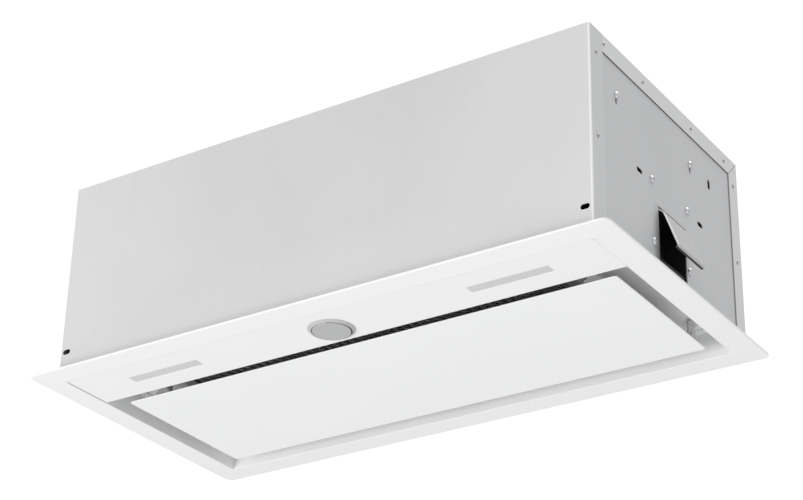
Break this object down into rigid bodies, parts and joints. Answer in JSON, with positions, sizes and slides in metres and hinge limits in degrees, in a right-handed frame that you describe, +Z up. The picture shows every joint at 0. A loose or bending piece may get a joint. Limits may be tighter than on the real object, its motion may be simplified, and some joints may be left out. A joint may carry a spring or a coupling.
{
  "type": "built-in range hood",
  "caption": "Built-in range hood: sheet casing, white trim frame, pop-out knob, strip lights and a drop-down perimeter suction panel over a grease filter and blower.",
  "frame": {"origin": "middle of the cabinet cut-out, level with the cabinet's underside, which is the top of the trim's lip", "axes": "+X to the right as seen from in front, +Y towards the rear, +Z up into the cabinet"},
  "size_m": [0.6, 0.3025, 0.2331],
  "materials": {
    "casing_sheet": "satin, light grey coated sheet",
    "zinc": "zinc plated",
    "black_plastic": "matt",
    "white_enamel": "satin white powder coat",
    "catch_grey": "matt",
    "filter_aluminium": "woven, dull",
    "silver_plastic": "satin metallic",
    "pale_plastic": "matt",
    "diffuser": "frosted",
    "circuit_board": "lacquered",
    "motor_shell": "satin",
    "rubber_black": "matt"
  },
  "bodies": {
    "hood": {"front_wall": "casing_sheet", "top_plate": "casing_sheet", "rear_wall": "casing_sheet", "left_side_panel": "casing_sheet", "right_side_panel": "casing_sheet", "casing_rivets": "zinc", "side_screws": "zinc", "hanger_brackets": "zinc", "left_wing_plate": "zinc", "right_wing_plate": "zinc", "left_wing_pocket": "black_plastic", "right_wing_pocket": "black_plastic", "trim_frame": "white_enamel", "filter_deck": "casing_sheet", "deck_screws": "zinc", "hinge_brackets": "zinc", "hinge_pins": "zinc", "panel_catches": "catch_grey", "filter_frame": "filter_aluminium", "filter_mesh": "filter_aluminium", "latch_keeper": "zinc", "filter_holders": "zinc", "knob_ring": "silver_plastic", "rotary_switch": "black_plastic", "switch_bracket": "zinc", "left_light_cover": "diffuser", "right_light_cover": "diffuser", "left_light_tray": "pale_plastic", "right_light_tray": "pale_plastic", "light_boards": "circuit_board", "scroll_band": "zinc", "left_scroll_side": "zinc", "right_scroll_side": "zinc", "inlet_rings": "black_plastic", "motor_body": "motor_shell", "motor_end_cap": "motor_shell", "motor_bracket": "zinc", "rubber_mounts": "rubber_black", "collar_flange": "black_plastic", "outlet_collar": "black_plastic", "collar_screws": "zinc", "flap_pin": "zinc", "control_box": "black_plastic", "control_box_cover": "black_plastic", "control_board": "circuit_board", "capacitor": "pale_plastic", "cable_gland": "black_plastic", "wiring_loom": "black_plastic"},
    "suction_panel": {"panel_face": "white_enamel", "panel_tray": "white_enamel"},
    "filter_latch": {"filter_latch": "black_plastic"},
    "impeller": {"impeller_wheel": "black_plastic", "motor_shaft": "zinc"},
    "front_flap": {"front_flap": "black_plastic"},
    "rear_flap": {"rear_flap": "black_plastic"},
    "switch_spindle": {"switch_spindle": "pale_plastic"},
    "knob": {"knob_cap": "silver_plastic", "knob_stem": "pale_plastic"},
    "left_wing": {"left_wing": "zinc"},
    "right_wing": {"right_wing": "zinc"}
  },
  "joints": [
    {"name": "panel_drop", "type": "hinge", "parent": "hood", "child": "suction_panel", "pos_m": [0, 0.094, 0.0102], "axis": [1, 0, 0], "range_deg": [0, 90]},
    {"name": "latch_slide", "type": "slide", "parent": "hood", "child": "filter_latch", "axis": [0, -1, 0], "range_m": [0, 0.006], "stiffness_N_per_m": 200, "springref_m": -0.003},
    {"name": "impeller_spin", "type": "hinge", "parent": "hood", "child": "impeller", "pos_m": [0, -0.03498, 0.108], "axis": [1, 0, 0], "continuous": true},
    {"name": "front_flap_swing", "type": "hinge", "parent": "hood", "child": "front_flap", "pos_m": [0, 0.0148, 0.2105], "axis": [-1, 0, 0], "range_deg": [0, 78]},
    {"name": "rear_flap_swing", "type": "hinge", "parent": "hood", "child": "rear_flap", "pos_m": [0, 0.0148, 0.2105], "axis": [1, 0, 0], "range_deg": [0, 78]},
    {"name": "knob_turn", "type": "hinge", "parent": "hood", "child": "switch_spindle", "pos_m": [0, -0.10094, 0.008], "axis": [0, 0, -1], "range_deg": [0, 270]},
    {"name": "knob_pop", "type": "slide", "parent": "switch_spindle", "child": "knob", "axis": [0, 0, -1], "range_m": [-0.0015, 0.008]},
    {"name": "right_wing_press", "type": "hinge", "parent": "hood", "child": "right_wing", "pos_m": [0.2765, 0.00275, 0.079], "axis": [0, 1, 0], "range_deg": [0, 20], "stiffness_Nm_per_rad": 3, "springref_deg": -5.73},
    {"name": "left_wing_press", "type": "hinge", "parent": "hood", "child": "left_wing", "pos_m": [-0.2765, 0.00275, 0.079], "axis": [0, -1, 0], "range_deg": [0, 20], "stiffness_Nm_per_rad": 3, "springref_deg": -5.73}
  ]
}
